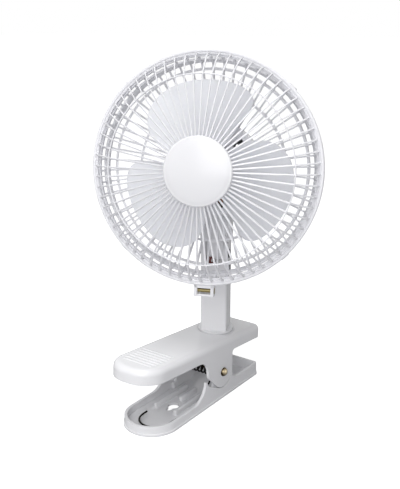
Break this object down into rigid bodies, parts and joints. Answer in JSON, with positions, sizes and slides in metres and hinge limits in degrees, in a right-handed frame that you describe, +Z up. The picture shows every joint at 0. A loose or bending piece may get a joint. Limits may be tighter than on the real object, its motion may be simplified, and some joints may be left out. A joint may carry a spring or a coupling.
{
  "type": "clip fan",
  "caption": "Small clip-on fan: sprung two-lever clip, swivelling post and tilting head with a caged three-blade impeller and its motor.",
  "frame": {"origin": "flat underside of the lower lever, straight below the post's swivel axis", "axes": "+Z up along the swivel axis, +Y from the clip's handles towards its jaws, +X to the clip's right-hand side"},
  "size_m": [0.1718, 0.1637, 0.2972],
  "materials": {
    "white_plastic": "satin moulded",
    "cap_plastic": "smooth gloss",
    "blade_plastic": "milky, slightly translucent",
    "grey_plastic": "fine texture",
    "dark_plastic": "moulded",
    "grommet_rubber": "soft",
    "lead_insulation": "extruded",
    "brass_rivet": "polished",
    "yellow_zinc": "yellow passivated steel",
    "black_steel": "black oxide",
    "spring_steel": "oil tempered",
    "zinc_steel": "bright zinc",
    "laminated_steel": "punched laminations",
    "copper_wire": "enamelled",
    "die_cast": "as cast",
    "ground_steel": "ground",
    "sintered_bronze": "oiled",
    "nylon": "plain"
  },
  "bodies": {
    "base": {"lower_lever": "white_plastic", "pivot_pin": "brass_rivet", "clip_spring": "spring_steel"},
    "arm": {"upper_lever": "white_plastic"},
    "post": {"post_shell": "white_plastic", "post_back": "white_plastic", "post_screws": "zinc_steel", "cord_grommet": "grommet_rubber", "switch_body": "dark_plastic", "lead_wires": "lead_insulation", "tilt_bolt": "black_steel", "tilt_nut": "black_steel", "swivel_washer": "zinc_steel", "swivel_screw": "zinc_steel"},
    "slider": {"switch_slider": "grey_plastic"},
    "head": {"front_grille": "white_plastic", "front_cap": "cap_plastic", "rear_grille": "white_plastic", "grille_screw": "yellow_zinc", "motor_housing": "white_plastic", "housing_screws": "zinc_steel", "stator": "laminated_steel", "stator_bobbin": "dark_plastic", "stator_coil": "copper_wire", "front_bracket": "die_cast", "rear_bracket": "die_cast", "front_bearing": "sintered_bronze", "rear_bearing": "sintered_bronze", "motor_screws": "zinc_steel"},
    "rotor": {"rotor_core": "laminated_steel", "motor_shaft": "ground_steel", "thrust_washers": "nylon", "impeller": "blade_plastic"}
  },
  "joints": [
    {"name": "clip_hinge", "type": "hinge", "parent": "base", "child": "arm", "pos_m": [0, -0.0215, 0.0243], "axis": [1, 0, 0], "range_deg": [0, 18], "stiffness_Nm_per_rad": 0.52, "springref_deg": -68.75, "deforming": ["clip_spring"]},
    {"name": "post_swivel", "type": "hinge", "parent": "arm", "child": "post", "pos_m": [0, 0, 0.052], "axis": [0, 0, 1], "continuous": true},
    {"name": "head_tilt", "type": "hinge", "parent": "post", "child": "head", "pos_m": [0, 0, 0.1234], "axis": [0.9171, 0.3987, 0], "range_deg": [-70, 45]},
    {"name": "fan_spin", "type": "hinge", "parent": "head", "child": "rotor", "pos_m": [0.01841, -0.04235, 0.20563], "axis": [0.3948, -0.9079, 0.1409], "continuous": true},
    {"name": "switch_slide", "type": "slide", "parent": "post", "child": "slider", "axis": [-0.3987, 0.9171, 0], "range_m": [0, 0.007]}
  ]
}
